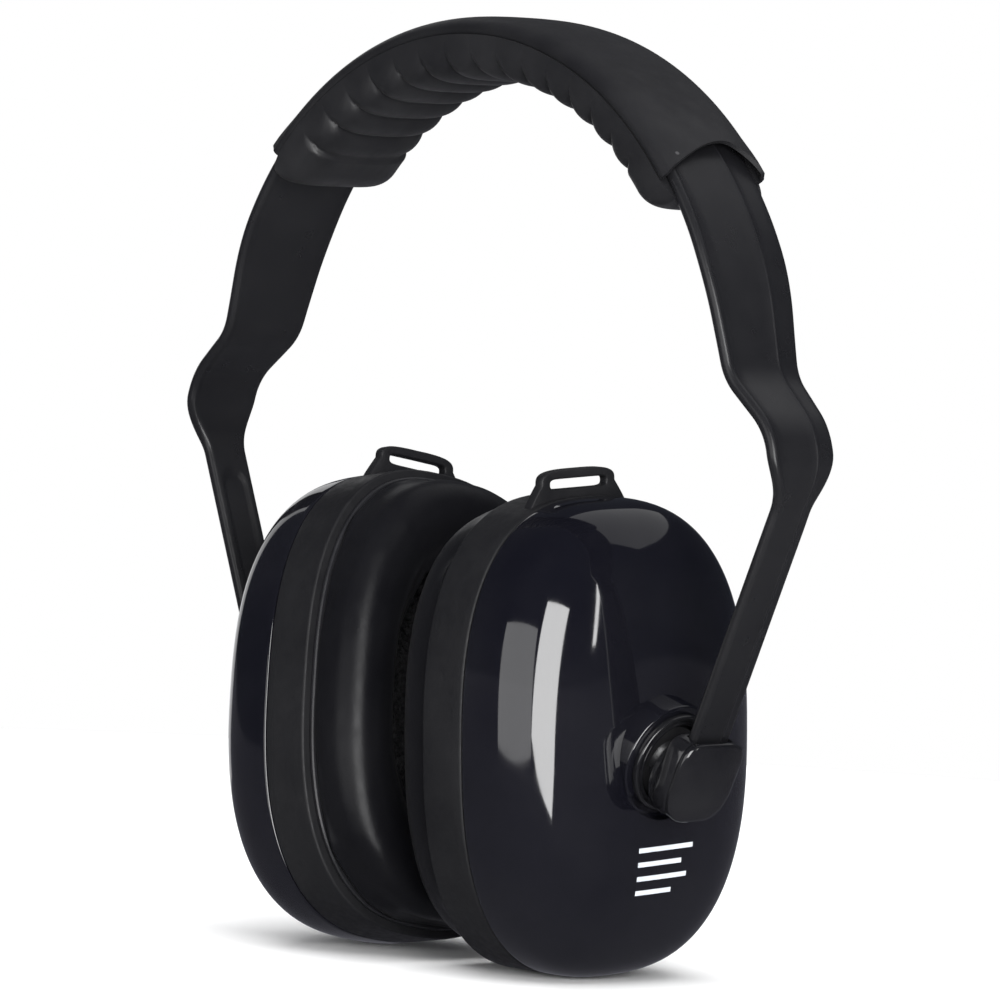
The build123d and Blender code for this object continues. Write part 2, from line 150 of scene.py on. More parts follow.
# ---- cup, measured outwards from the seam between shell and ring ----
CUP_HEIGHT = 110.0
CUP_WIDTH = 77.5
SQUARENESS = 2.55
POLE_SQUARENESS = 2.1
SHELL_DEPTH = 26.0
DOME_POWER = 3.2
DOME_STEPS = 44
POLE_ANGLE = 89.6
POLE_SPACING = 1.25  # above 1, the dome's outlines crowd towards the seam
SHELL_WALL = 2.6
SEAM_HALF = 0.15
SEAM_ROUND = 0.55
RING_DEPTH = 13.0
RING_WALL = 4.0
RING_ROUND = 0.6
RING_LAND = 4.0
GROOVE = 1.2
CUSHION_DEPTH = 15.0
CUSHION_POINTS = 96
CUSHION_INSET = 2.0
RIM_ROUND = 7.5
EAR_ROUND = 5.0
EAR_WIDTH = 40.0
EAR_HEIGHT = 68.0
EAR_POCKET = 4.0
PLATE_THICKNESS = 2.0
OUTLINE_POINTS = 128
PUFF_LIMIT = 1.6  # how far the simulation may swell the ear cushion
PUFF_FRAMES = 20
PUFF_SCALE = 8 * MM  # the simulation runs eight times larger than life
CREASE_DEPTH = 0.35

LUG_BASE = 34.0
LUG_SHOULDER = 11.6  # half width level with the slot
LUG_RISE = 6.4
LUG_THICKNESS = 2.6
LUG_FROM_SEAM = 2.1
LUG_BAR = 2.2
LUG_DEPTH = 10.0  # how far the lug runs down into the ring, from the middle of its slot
SLOT_LENGTH = 17.5
SLOT_WIDTH = 2.3
LUG_FLARE = 1.35
LUG_POINTS = 120
LUG_TOP_POWERS = (0.55, 0.6)  # squareness of the lug's top, of its flanks and of the slot
LUG_FLANK_POWER = 0.12
SLOT_POWERS = (0.22, 0.6)
LUG_CORNER = 0.55

MARK_WIDTH = 6.0  # raised triangle near the top of the shell
MARK_HEIGHT = 3.2
MARK_ACROSS = 6.0
MARK_UP = 34.0
MARK_LIFT = 0.18
BAR_LENGTHS = (17.0, 13.5, 15.5, 11.0)
BAR_WIDTH = 1.1  # plain printed bars low on the shell
BAR_PITCH = 3.3
BAR_LIFT = 0.05
PATCH_BASE = -0.3  # marks and bars start this far under the shell's face
BARS_ACROSS = -7.0
BARS_UP = -23.5

# ---- ball joint and slider, along the stud from the ball's centre ----
BALL_IN_CUP = (24.4, 0.0, -2.0)
BOSS_DROOP = 18.0
BOSS_RADIUS = 13.5
BOSS_TOP = 4.0
BOSS_BOTTOM = -5.5
BOSS_CLEARANCE = 0.3
BOSS_ROUND = 0.5
BORE_ROUND = 0.3
CUTTER_REACH = 40.0
BORE_RADIUS = 11.0
COLLAR_RADIUS = 11.7
COLLAR_TOP = 5.6
COLLAR_ROUND = 0.55
COLLAR_GROOVE = 10.5  # radius of the fine groove round the collar's face
COLLAR_BORE = 8.72
MOUTH_IN = 6.0
MOUTH_OUT = 9.6
BALL_RADIUS = 6.0
STUD_RADIUS = 3.0
STUD_SHOULDER = 5.0
STUD_SHOULDER_FROM = 6.2
STUD_END = 11.0
BASE_RADIUS = 10.3
BASE_FROM = 8.3
BLOCK_FROM = 9.5
ARM_FROM_BALL = 12.8
BLOCK_TO = 14.9
CAP_TO = 17.0
BLOCK_WIDTH = 19.0
BLOCK_LENGTH = 20.0
BLOCK_RISE = 1.0  # the block's middle stands this far above the ball
BLOCK_TAPER = 0.1
BLOCK_TOP_POWER = 0.42
BLOCK_FOOT_POWER = 0.55
FACET_AT = -40.0  # the cap's facet, as an angle round the stud
FACET_SPAN = 62.0
CHANNEL_GAP = 0.15

# ---- camera: the photograph's angle on an object that leans back a little ----
VIEW_AZIMUTH = 47.0
VIEW_ELEVATION = 5.7
VIEW_LEAN = 4.1
VIEW_DISTANCE = 1.9
VIEW_LENS = 295.9
VIEW_TARGET = (0.0058, -0.0043, 0.10725)
SENSOR_WIDTH = 36.0

FLOOR_RADIUS = 0.6
LIGHT_AIM = Vector((0.0, 0.0, 0.1))
ROOM_ABOVE = (0.03, 0.033, 0.042)
ROOM_BELOW = (0.13, 0.13, 0.15)


# ---- frames from the record ----

def mount(name):
    return next(m for m in record["mounts"] if m["name"] == name)


def joint(name):
    return next(j for j in record["behaviour"]["joints"] if j["name"] == name)


def frame_matrix(x, z, side, origin, shift=(0, 0, 0)):
    """Matrix from a local frame in millimetres to the row frame. The right side is a mirror image."""
    y = z.cross(x) if side == "left" else x.cross(z)
    turn = Matrix((x, y, z)).transposed().to_4x4()
    return Matrix.Translation(origin) @ turn @ Matrix.Scale(MM, 4) @ Matrix.Translation(-Vector(shift))


def cup_frame(side):
    """Cup frame: X outwards from the seam, Z up, origin at the middle of the seam."""
    x = -Vector(mount(f"{side}_seal_face")["axis"]).normalized()
    ball = Vector(joint(f"{side}_turn")["pos_m"])
    z = Vector(mount(f"{side}_strap_slot")["pos_m"]) - ball
    z = (z - x * z.dot(x)).normalized()
    return frame_matrix(x, z, side, ball, BALL_IN_CUP)


def stud_frame(side):
    """Stud frame: X outwards along the stud, Z up along the arm, origin at the ball's centre."""
    x = Vector(joint(f"{side}_swivel")["axis"]).normalized()
    z = Vector(joint(f"{side}_slide")["axis"]).normalized()
    return frame_matrix(x, z, side, Vector(joint(f"{side}_turn")["pos_m"]))


def boss_frame():
    """Boss frame inside the cup frame, in millimetres."""
    return Matrix.Translation(BALL_IN_CUP) @ Matrix.Rotation(math.radians(BOSS_DROOP), 4, "Y")


MILLIMETRES = Matrix.Scale(MM, 4)
CROWN_CENTRE = MILLIMETRES @ Matrix.Translation((0, 0, CROWN_HEIGHT - CROWN_RADIUS))


# ---- mesh tools ----

def new_object(name, data):
    obj = bpy.data.objects.new(name, data)
    bpy.context.scene.collection.objects.link(obj)
    return obj


def make_mesh(name, points, faces, matrix, sharp=35.0):
    """Mesh from points in millimetres, with its faces turned outwards and smooth shading."""
    mesh = bpy.data.meshes.new(name)
    mesh.from_pydata([matrix @ Vector(p) for p in points], [], faces)
    work = bmesh.new()
    work.from_mesh(mesh)
    bmesh.ops.remove_doubles(work, verts=work.verts, dist=1e-7)
    bmesh.ops.recalc_face_normals(work, faces=work.faces)
    work.to_mesh(mesh)
    work.free()
    mesh.shade_smooth()
    mesh.set_sharp_from_angle(angle=math.radians(sharp))
    return new_object(name, mesh)


def skin_rings(rings, loop=False):
    """Points and faces of a surface through rings with equal counts; loop joins the last to the first."""
    count = len(rings[0])
    points = [p for ring in rings for p in ring]
    faces = []
    spans = len(rings) if loop else len(rings) - 1
    for i in range(spans):
        a = i * count
        b = (i + 1) % len(rings) * count
        for j in range(count):
            k = (j + 1) % count
            faces.append((a + j, a + k, b + k, b + j))
    if not loop:
        for ring, start in ((rings[0], 0), (rings[-1], (len(rings) - 1) * count)):
            centre = sum((Vector(p) for p in ring), Vector()) / count
            points.append(tuple(centre))
            tip = len(points) - 1
            faces += [(start + j, start + (j + 1) % count, tip) for j in range(count)]
    return points, faces


def rings_piece(name, rings, matrix, loop=False, sharp=35.0):
    points, faces = skin_rings(rings, loop)
    return make_mesh(name, points, faces, matrix, sharp)


def join_shapes(shapes):
    """Points and faces of several shapes as one."""
    points, faces = [], []
    for shape_points, shape_faces in shapes:
        start = len(points)
        points += shape_points
        faces += [tuple(start + i for i in face) for face in shape_faces]
    return points, faces


def smooth_step(value, start=0.0, span=1.0):
    """Eases from 0 at the start to 1 a span further on."""
    t = min(1.0, max(0.0, (value - start) / span))
    return t * t * (3 - 2 * t)


def signed_power(value, power):
    return math.copysign(abs(value) ** power, value)


def round_steps(count):
    """Cosine and sine of equal steps once round a circle."""
    angles = [2 * math.pi * i / count for i in range(count)]
    return [(math.cos(a), math.sin(a)) for a in angles]


def oblong(width, height, x, power=SQUARENESS, count=OUTLINE_POINTS):
    """Superellipse outline in the cup's frame, at a distance x from the seam."""
    return [(x, width / 2 * signed_power(c, 2 / power), height / 2 * signed_power(s, 2 / power))
            for c, s in round_steps(count)]


def cup_outline(x, inset):
    """Outline of the cup, drawn in by an inset."""
    return oblong(CUP_WIDTH - 2 * inset, CUP_HEIGHT - 2 * inset, x)


def turned_rings(profile, count=TURNED_POINTS):
    """Rings round X of a profile of (x, radius) points."""
    return [[(x, radius * c, radius * s) for c, s in round_steps(count)] for x, radius in profile]


def arc(cx, cy, radius, start, end, steps):
    """Points of an arc in a profile, from one angle to another in degrees."""
    points = []
    for i in range(steps + 1):
        angle = math.radians(start + (end - start) * i / steps)
        points.append((cx + radius * math.cos(angle), cy + radius * math.sin(angle)))
    return points


def apply_modifiers(obj):
    """Makes the modified shape the object's own mesh, smooth shaded."""
    graph = bpy.context.evaluated_depsgraph_get()
    mesh = bpy.data.meshes.new_from_object(obj.evaluated_get(graph))
    obj.modifiers.clear()
    obj.data = mesh
    mesh.shade_smooth()


def carve(obj, cutter):
    """Cuts one closed mesh out of another."""
    cut = obj.modifiers.new("cut", "BOOLEAN")
    cut.object = cutter
    cut.operation = "DIFFERENCE"
    cut.solver = "EXACT"
    apply_modifiers(obj)
    obj.data.set_sharp_from_angle(angle=math.radians(30.0))
    bpy.data.objects.remove(cutter)


def subdivide(obj, levels):
    """Applies a subdivision surface."""
    smooth = obj.modifiers.new("smooth", "SUBSURF")
    smooth.levels = levels
    smooth.render_levels = levels
    apply_modifiers(obj)


def place(obj, body, slot, *nodes, material=None):
    """Gives a piece the material named by its slot, puts it in its body and hides the CAD nodes that it
    replaces.
    """
    obj.data.materials.clear()
    obj.data.materials.append(MATERIALS[material or slot])
    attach(obj, body)
    if nodes:
        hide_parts(*nodes)
    return obj


# ---- materials ----

MATERIALS = {}


def shader(name, colour, roughness, tones=None, finish=None, layers=(), **sockets):
    """Principled material, kept in MATERIALS, with its constants on the shader's own sockets.

    Tones are the (scale, dark, light) of a colour that wanders, finish the (scale, low, high) of a
    roughness that does, and a layer of bumps is (texture, settings, strength, depth in millimetres)."""
    material = bpy.data.materials.new(name)
    material.use_nodes = True
    bsdf = principled(material)
    bsdf.inputs["Base Color"].default_value = (*colour, 1.0)
    bsdf.inputs["Roughness"].default_value = roughness
    for socket, value in sockets.items():
        bsdf.inputs[socket.replace("_", " ")].default_value = value
    if tones:
        vary_colour(material, *tones)
    if finish:
        vary_roughness(material, *finish)
    add_bumps(material, [(texture(material, *settings), strength, depth)
                         for texture, settings, strength, depth in layers])
    MATERIALS[name] = material
    return material


def principled(material):
    return material.node_tree.nodes["Principled BSDF"]


def grey(level, blue=0.001):
    """Near-neutral colour, a little bluer than grey."""
    return (level, level, level + blue)


def link(owner, source, target):
    owner.node_tree.links.new(source, target)


def add_node(owner, kind, **settings):
    """New node in a material or world, with values for its sockets or its own settings."""
    node = owner.node_tree.nodes.new(kind)
    for key, value in settings.items():
        if key in node.inputs:
            node.inputs[key].default_value = value
        else:
            setattr(node, key, value)
    return node


def set_ramp(ramp, *stops):
    """Sets a colour ramp's stops, each (position, colour)."""
    for element, (position, colour) in zip(ramp.color_ramp.elements, stops):
        element.position = position
        element.color = (*colour, 1.0)


def object_coordinates(material):
    return add_node(material, "ShaderNodeTexCoord").outputs["Object"]


def noises(material, scale, detail=4.0, roughness=0.55):
    texture = add_node(material, "ShaderNodeTexNoise", Scale=scale, Detail=detail, Roughness=roughness)
    link(material, object_coordinates(material), texture.inputs["Vector"])
    return texture.outputs["Fac"]


def cells(material, scale, feature="F1"):
    texture = add_node(material, "ShaderNodeTexVoronoi", feature=feature, Scale=scale)
    link(material, object_coordinates(material), texture.inputs["Vector"])
    return texture.outputs["Distance"]


def vary_roughness(material, scale, low, high):
    """Roughness that wanders between two values."""
    spread = add_node(material, "ShaderNodeMapRange")
    for socket, value in (("From Min", 0.3), ("From Max", 0.7), ("To Min", low), ("To Max", high)):
        spread.inputs[socket].default_value = value
    link(material, noises(material, scale, 5.0), spread.inputs["Value"])
    link(material, spread.outputs["Result"], principled(material).inputs["Roughness"])


def vary_colour(material, scale, dark, light):
    """Base colour that wanders between two colours."""
    ramp = add_node(material, "ShaderNodeValToRGB")
    set_ramp(ramp, (0.35, dark), (0.7, light))
    link(material, noises(material, scale), ramp.inputs["Fac"])
    link(material, ramp.outputs["Color"], principled(material).inputs["Base Color"])


def add_bumps(material, layers):
    """Adds a chain of bump layers, each (height output, strength, depth in millimetres)."""
    target = principled(material).inputs["Normal"]
    for height, strength, depth in reversed(layers):
        bump = add_node(material, "ShaderNodeBump", Strength=strength, Distance=depth * MM)
        link(material, height, bump.inputs["Height"])
        link(material, bump.outputs["Normal"], target)
        target = bump.inputs["Normal"]


def make_materials():
    """Makes the material of every slot, and the printing ink."""
    # mirror-polished black moulding with a breath of haze
    shader("gloss_shell", grey(0.004, 0.002), 0.05, tones=(30, grey(0.003, 0.002), grey(0.006, 0.002)),
           finish=(260, 0.035, 0.085), layers=[(noises, (70, 1.0), 0.04, 0.02)], IOR=1.5,
           Coat_Weight=0.15, Coat_Roughness=0.03)
    # polished black of the slider and the collar, a little softer than the shell
    shader("gloss_block", grey(0.006), 0.12, tones=(80, grey(0.004), grey(0.009)),
           finish=(350, 0.09, 0.2), layers=[(noises, (700, 3.0), 0.08, 0.02)], IOR=1.5)
    # matte moulding with a fine spark-eroded grain
    shader("ring_plastic", grey(0.007), 0.5, tones=(45, grey(0.006), grey(0.01)),
           finish=(500, 0.42, 0.6),
           layers=[(noises, (2200, 3.0), 0.35, 0.05), (cells, (3300,), 0.15, 0.03)],
           Specular_IOR_Level=0.22)
    # satin black nylon: smooth, with faint flow marks and a very fine texture
    shader("band_plastic", grey(0.008), 0.3, tones=(25, grey(0.006), grey(0.01)),
           finish=(140, 0.26, 0.36),
           layers=[(noises, (60, 2.0), 0.06, 0.1), (noises, (2400, 2.0), 0.16, 0.03)],
           Specular_IOR_Level=0.26)
    # soft satin sleeve of the head pad
    shader("pad_cover", grey(0.007), 0.5, tones=(35, grey(0.005), grey(0.009)), finish=(180, 0.44, 0.6),
           layers=[(noises, (110, 3.0), 0.12, 0.2), (cells, (2600,), 0.2, 0.04)], Specular_IOR_Level=0.18,
           Sheen_Weight=0.01)
    # moulded foam ribs under the sleeve, with a closed matt skin
    shader("pad_foam", grey(0.007), 0.42, tones=(60, grey(0.005), grey(0.01)), finish=(220, 0.36, 0.5),
           layers=[(noises, (300, 3.0), 0.2, 0.15), (cells, (2900,), 0.25, 0.05)], Specular_IOR_Level=0.3,
           Sheen_Weight=0.02)
    # soft leatherette: fine cells, shallow creases and a low sheen
    shader("cushion_skin", grey(0.004), 0.36, tones=(40, grey(0.003), grey(0.005)),
           finish=(240, 0.3, 0.42),
           layers=[(noises, (130, 4.0), 0.18, 0.25), (cells, (1500, "SMOOTH_F1"), 0.3, 0.06),
                   (noises, (3000, 2.0), 0.12, 0.02)],
           Specular_IOR_Level=0.13, Sheen_Weight=0.01)
    # open-cell foam inside the cup: dark, dull and pitted
    shader("damping_foam", grey(0.03, 0.002), 0.95, tones=(900, grey(0.01), grey(0.05, 0.003)),
           finish=(400, 0.88, 1.0), layers=[(cells, (1100,), 0.9, 0.5), (noises, (2600, 3.0), 0.5, 0.2)])
    # cream foam ring of the ear cushion
    shader("soft_foam", (0.35, 0.34, 0.3), 0.95, tones=(900, (0.25, 0.24, 0.2), (0.42, 0.41, 0.36)),
           layers=[(cells, (1300,), 0.8, 0.4)])
    # moulded plate behind the cushion
    shader("plate_plastic", grey(0.009), 0.4, tones=(60, grey(0.007), grey(0.012, 0.002)),
           finish=(300, 0.3, 0.45), layers=[(noises, (1800, 2.0), 0.15, 0.03)], Specular_IOR_Level=0.3)
    # turned black acetal
    shader("stud_plastic", grey(0.016, 0.002), 0.3, tones=(120, grey(0.012, 0.002), grey(0.022, 0.002)),
           finish=(500, 0.24, 0.38), layers=[(noises, (1500, 2.0), 0.12, 0.02)])
    # dark acetal of the ball seat and retainer
    shader("seat_plastic", grey(0.016), 0.4, tones=(150, grey(0.012), grey(0.021)),
           layers=[(noises, (1200, 2.0), 0.12, 0.02)], Specular_IOR_Level=0.35)
    # rolled spring steel
    shader("spring_steel", grey(0.55, 0.01), 0.28, finish=(700, 0.2, 0.38),
           layers=[(noises, (2500, 2.0), 0.15, 0.02)], Metallic=1.0)
    # pale grey printing ink
    shader("printing_ink", (0.55, 0.58, 0.62), 0.5, tones=(400, (0.48, 0.51, 0.55), (0.6, 0.63, 0.66)))
    # satin push rivet
    shader("rivet_plastic", grey(0.028, 0.002), 0.35,
           tones=(300, grey(0.022, 0.002), grey(0.036, 0.002)),
           layers=[(noises, (2000, 2.0), 0.15, 0.02)])


# ---- headband ----

def centre_line():
    """Left half of the strip from the crown to the tip, and the distance at each stretch's end.

    A sample is (x, z, heading in degrees below level, distance along the strip)."""
    segments = (
        ("crown", CROWN_RADIUS, CROWN_ANGLE, 0.0),
        ("shoulder", SHOULDER_RADIUS, SHOULDER_ANGLE, 0.0),
        ("side", 0.0, 0.0, SIDE_LENGTH),
        ("kick", KICK_RADIUS, -KICK_ANGLE, 0.0),
        ("run", 0.0, 0.0, KICK_LENGTH),
        ("bulge", BULGE_RADIUS, BULGE_ANGLE, 0.0),
        ("arm", 0.0, 0.0, ARM_LENGTH),
    )
    x, z, heading, travelled = 0.0, CROWN_HEIGHT, 0.0, 0.0
    samples = [(x, z, heading, travelled)]
    ends = {}
    for name, radius, turn, straight in segments:
        length = straight or radius * math.radians(abs(turn))
        steps = max(2, math.ceil(length / STATION_STEP))
        step = length / steps
        for _ in range(steps):
            half = heading + turn / steps / 2
            x += step * math.cos(math.radians(half))
            z -= step * math.sin(math.radians(half))
            heading += turn / steps
            travelled += step
            samples.append((x, z, heading, travelled))
        ends[name] = travelled
    return samples, ends


def strip_width(travelled, ends):
    """Width of the strip at a distance from the crown: three smooth tapers."""
    bulge_middle = (ends["run"] + ends["bulge"]) / 2
    if travelled < bulge_middle:
        first = smooth_step(travelled, ends["crown"], ends["side"] + WIDTH_FADE - ends["crown"])
        second = smooth_step(travelled, ends["side"], bulge_middle - ends["side"])
        return (WIDTH_CROWN + (WIDTH_SIDE - WIDTH_CROWN) * first
                + (WIDTH_BULGE - WIDTH_SIDE) * second)
    fall = smooth_step(travelled, bulge_middle, ends["bulge"] + NECK_DROP - bulge_middle)
    return WIDTH_BULGE + (WIDTH_ARM - WIDTH_BULGE) * fall


def outer_height(u, half, lip):
    """Relief of the outer face: a front lip, a flat field, a fine ridge and a falling rear flank."""
    height = STRIP_THICKNESS / 2
    ridge = CREASE_AT * half
    if u < ridge - CREASE_HALF:
        return height - LIP_HEIGHT * lip * smooth_step(u + half, LIP_WIDTH, LIP_SLOPE)
    top = height - LIP_HEIGHT * lip
    bead = CREASE_HEIGHT * math.exp(-((u - ridge) / CREASE_SPREAD) ** 2)
    return top + bead - FLANK_DROP * max(0.0, (u - ridge) / (half - ridge))


def channel_depth(u, travelled, ends):
    """Depth of the recess down the arm's inner face, round at its top and short of the tip."""
    reach = CHANNEL_SHARE * WIDTH_ARM / 2
    beyond = max(0.0, ends["bulge"] + CHANNEL_FROM_BULGE + reach - travelled)
    end = smooth_step(ends["arm"] - travelled, CHANNEL_FROM_TIP, CHANNEL_END_SLOPE)
    side = smooth_step(reach + CHANNEL_SLOPE / 2 - math.hypot(u, beyond), 0.0, CHANNEL_SLOPE)
    return CHANNEL_DEPTH * side * end


def strip_section(half, lip, travelled, ends):
    """Closed section of the strip: (across, outward) points, front edge to rear edge and back."""
    h = STRIP_THICKNESS / 2
    flat = half - EDGE_ROUND
    lip_start = -half + LIP_WIDTH
    field_start = lip_start + LIP_SLOPE
    ridge = CREASE_AT * half
    field = ridge - CREASE_HALF - lip_start - LIP_SLOPE
    flank_start = ridge + CREASE_HALF
    across = [-flat, -flat + EDGE_FLAT]
    across += [lip_start + LIP_SLOPE * k / 3 for k in range(4)]
    across += [field_start + field * k / 5 for k in range(1, 6)]
    across += [ridge + CREASE_SPREAD * k / 2 for k in range(-2, 3)]
    across += [flank_start + (flat - flank_start) * k / 4 for k in range(5)]
    points = [(u, outer_height(u, half, lip)) for u in across]
    rear_top = points[-1][1]
    rear_middle = (rear_top - h) / 2
    for k in range(1, 6):
        angle = math.radians(90 - 180 * k / 6)
        points.append((flat + EDGE_ROUND * math.cos(angle),
                       rear_middle + (rear_top + h) / 2 * math.sin(angle)))
    for k in range(17):
        u = flat - 2 * flat * k / 16
        points.append((u, -h + channel_depth(u, travelled, ends)))
    for k in range(1, 6):
        angle = math.radians(-90 - 180 * k / 6)
        points.append((-flat + EDGE_ROUND * math.cos(angle), h * math.sin(angle)))
    return points


def headband_piece():
    """The whole strip, swept from the right tip over the crown to the left tip."""
    samples, ends = centre_line()
    half_rings = []
    for x, z, heading, travelled in samples:
        half = strip_width(travelled, ends) / 2
        to_tip = ends["arm"] - travelled
        if to_tip < TIP_CORNER:
            half -= TIP_CORNER - math.sqrt(max(0.0, TIP_CORNER ** 2 - (TIP_CORNER - to_tip) ** 2))
        lip = 1 - smooth_step(travelled - ends["bulge"], -LIP_FADE_LEAD, LIP_FADE)
        a = math.radians(heading)
        half_rings.append([(x + math.sin(a) * rise, across, z + math.cos(a) * rise)
                           for across, rise in strip_section(half, lip, travelled, ends)])
    mirrored = [[(-x, y, z) for x, y, z in ring] for ring in reversed(half_rings[1:])]
    return rings_piece("headband_strip", mirrored + half_rings, MILLIMETRES, sharp=50.0)


# ---- head pad ----

def on_crown(angle, radius, across):
    """Point on the crown's arc, an angle in degrees from the top."""
    a = math.radians(angle)
    return (radius * math.sin(a), across, radius * math.cos(a))


def sleeve_loop(inset):
    """Section of the sleeve, drawn in by inset: (across, radius, facing), a soft-cornered oblong."""
    middle = (COVER_OUTSIDE + COVER_INSIDE) / 2
    depth = (COVER_OUTSIDE - COVER_INSIDE) / 2 - inset
    points = []
    for c, s in round_steps(COVER_POINTS):
        rise = depth * math.copysign((1 - abs(c) ** COVER_SIDE_POWER) ** COVER_RISE_POWER, s)
        crown = COVER_CROWN * (1 - c ** 2) if s > 0 else 0.0
        points.append(((PAD_WIDTH / 2 - inset) * c, middle + rise + crown, s))
    return points


def sleeve_end(across, facing):
    """Angle at which the sleeve ends: it arches back over the strip and runs on underneath."""
    reach = PAD_WIDTH / 2 + math.copysign(ARCH_CENTRE, ARCH_CENTRE - across)
    share = min(1.0, abs(across - ARCH_CENTRE) / reach)
    arch = 1 - (math.hypot(share, ARCH_ROUND) - ARCH_ROUND) / (math.hypot(1, ARCH_ROUND) - ARCH_ROUND)
    if facing > UPPER_FROM:
        return COVER_END - COVER_ARCH * arch * smooth_step(facing, UPPER_FROM, 0.25)
    return COVER_END + COVER_TONGUE * (1 - share ** 2) * smooth_step(-facing, 0.1, 0.4)


def head_pad_cover_piece():
    """Thin sleeve with a real wall, open at both ends."""
    outer = sleeve_loop(0.0)
    inner = sleeve_loop(COVER_THICKNESS)
    rings = []
    for loop, heading in ((outer, 1), (inner, -1)):
        for k in range(COVER_STEPS + 1):
            share = heading * (-1 + 2 * k / COVER_STEPS)
            flare = COVER_FLARE * smooth_step(abs(share), FLARE_FROM, 1 - FLARE_FROM)
            ring = []
            for (across, radius, facing), (wide, _, _) in zip(loop, outer):
                lift = flare if facing > 2 * UPPER_FROM else 0.0
                ring.append(on_crown(share * sleeve_end(wide, facing), radius + lift, across))
            rings.append(ring)
    return rings_piece("head_pad_sleeve", rings, CROWN_CENTRE, loop=True, sharp=60.0)


def rib_groove(angle, across):
    """How deep in a groove a point of the pad lies, from 0 on a pillow's crest to 1 in the groove."""
    ribbed = PAD_ANGLE - RIB_END
    bow = RIB_BOW * (1 - min(1.0, abs(across) / PAD_HALF_WIDTH) ** 2)
    place_in_ribs = (abs(angle) - bow + ribbed) / (2 * ribbed / RIB_COUNT)
    fade = smooth_step(ribbed + RIB_OVERRUN - abs(angle), 0.0, RIB_FADE)
    return (1 - abs(math.sin(math.pi * place_in_ribs)) ** RIB_POWER) * fade


def end_lobe(angle):
    """Round nose of the pad: 1 along the pad, falling to 0 at its end."""
    share = min(1.0, max(0.0, (PAD_END - abs(angle)) / LOBE_SPAN))
    return math.sqrt(max(0.0, 1 - (1 - share) ** 2))


def head_pad_cushion_piece():
    """Ribbed foam pad under the sleeve, grooved across its face and round into its sides."""
    rings = []
    for k in range(PAD_STEPS + 1):
        angle = (PAD_END - 0.01) * (-1 + 2 * k / PAD_STEPS)
        lobe = end_lobe(angle)
        nose = 1 - NOSE_TAPER * (1 - lobe)
        ring = []
        for i in range(PAD_POINTS):
            a = math.pi * i / (PAD_POINTS - 1)
            across = PAD_HALF_WIDTH * signed_power(math.cos(a), PAD_SIDE_POWER)
            groove = rib_groove(angle, across)
            rim = math.sin(a) ** PAD_RISE_POWER
            depth = PAD_LAP * rim + (PAD_DEPTH * rim - RIB_DEPTH * groove * math.sin(a)) * lobe
            side = RIB_SIDE * groove * smooth_step(math.sin(a), 0.0, 0.5) * across / PAD_HALF_WIDTH
            ring.append(on_crown(angle, COVER_INSIDE + PAD_LAP - depth, across * nose - side))
        rings.append(ring)
    return rings_piece("head_pad_ribs", rings, CROWN_CENTRE, sharp=75.0)


def rivets_piece():
    """Two domed rivet heads as one piece."""
    dome = arc(-RIVET_SINK, 0.0, RIVET_HEIGHT + RIVET_SINK, 44, 2, 8)
    widest = dome[0][1]
    profile = [(-0.3, RIVET_RADIUS)] + [(x, r / widest * RIVET_RADIUS) for x, r in dome]
    points, faces = skin_rings(turned_rings(profile, 32))
    heads = []
    for side in (-1, 1):
        turn = Matrix.Rotation(math.radians(side * (PAD_ANGLE - RIVET_FROM_END)), 4, "Y")
        up = Matrix.Translation((0, -RIVET_FORWARD, COVER_OUTSIDE)) @ Matrix.Rotation(-math.pi / 2, 4, "Y")
        heads.append(([tuple(turn @ up @ Vector(p)) for p in points], faces))
    return make_mesh("pad_rivet_heads", *join_shapes(heads), CROWN_CENTRE)


# ---- cup ----

def dome_ring(angle, inset, depth):
    """One outline of the dome, by the angle in degrees from the seam to the pole."""
    a = math.radians(angle)
    rise = math.sin(a) ** (2 / DOME_POWER)
    size = math.cos(a) ** (2 / DOME_POWER)
    power = SQUARENESS + (POLE_SQUARENESS - SQUARENESS) * smooth_step(1.3 * (1 - size))
    return oblong((CUP_WIDTH - 2 * inset) * size, (CUP_HEIGHT - 2 * inset) * size, rise * depth, power)


def cup_shell_piece(side, matrix):
    """Domed shell with wall thickness, cut for the boss and its clearance ring."""
    angles = [90 * (k / DOME_STEPS) ** POLE_SPACING for k in range(1, DOME_STEPS)] + [POLE_ANGLE]
    rings = [dome_ring(a, SHELL_WALL, SHELL_DEPTH - SHELL_WALL) for a in reversed(angles)]
    rings.append(cup_outline(SEAM_HALF, SHELL_WALL))
    rim_top = SEAM_HALF + SEAM_ROUND
    rings += [cup_outline(x, inset) for x, inset in arc(rim_top, SEAM_ROUND, SEAM_ROUND, 180, 270, 4)]
    rings += [ring for ring in (dome_ring(a, 0.0, SHELL_DEPTH) for a in angles) if ring[0][0] > rim_top]
    shell = rings_piece(f"{side}_shell_dome", rings, matrix)
    wide = BOSS_RADIUS + BOSS_CLEARANCE
    cut = [(-CUTTER_REACH, BORE_RADIUS), (BOSS_TOP, BORE_RADIUS), (BOSS_TOP, wide), (CUTTER_REACH, wide)]
    carve(shell, rings_piece("cutter", turned_rings(cut), matrix @ boss_frame()))
    return shell


def shell_boss_piece(side, matrix):
    """Round boss moulded on the shell, open in the middle for the ball joint."""
    profile = [(BOSS_BOTTOM, BORE_RADIUS), (BOSS_BOTTOM, BOSS_RADIUS)]
    profile += arc(BOSS_TOP - BOSS_ROUND, BOSS_RADIUS - BOSS_ROUND, BOSS_ROUND, 90, 0, 5)
    profile += arc(BOSS_TOP - BORE_ROUND, BORE_RADIUS + BORE_ROUND, BORE_ROUND, 0, -90, 3)
    return rings_piece(f"{side}_shell_boss", turned_rings(profile), matrix @ boss_frame(), loop=True)


